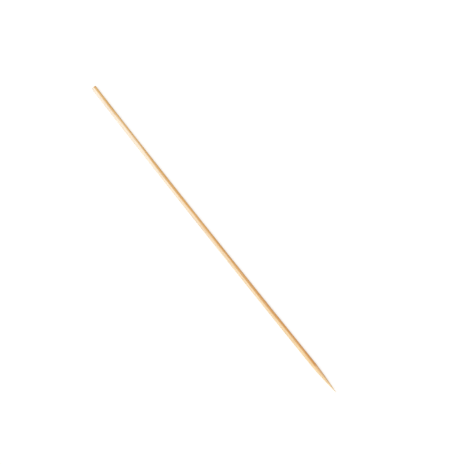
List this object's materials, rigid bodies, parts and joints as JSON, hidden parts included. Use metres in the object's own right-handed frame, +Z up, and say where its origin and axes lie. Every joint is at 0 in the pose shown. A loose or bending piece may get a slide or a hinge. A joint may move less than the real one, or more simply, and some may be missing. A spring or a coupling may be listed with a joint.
{
  "type": "bamboo skewer",
  "caption": "Long round bamboo stick, barely bowed, ground to a slender point at one end and sawn square at the other, for threading and grilling food.",
  "frame": {"origin": "under the middle of the stick's outline, on the surface that it lies on", "axes": "+X along the stick towards the point, +Z up, and the stick's slight bow lies flat and goes to -Y"},
  "size_m": [0.3, 0.0048, 0.0039],
  "materials": {
    "bamboo": "pale straw bamboo, planed round and tumbled smooth, satin, with fine lengthwise fibres"
  },
  "bodies": {
    "root": {"skewer": "bamboo"}
  },
  "joints": []
}
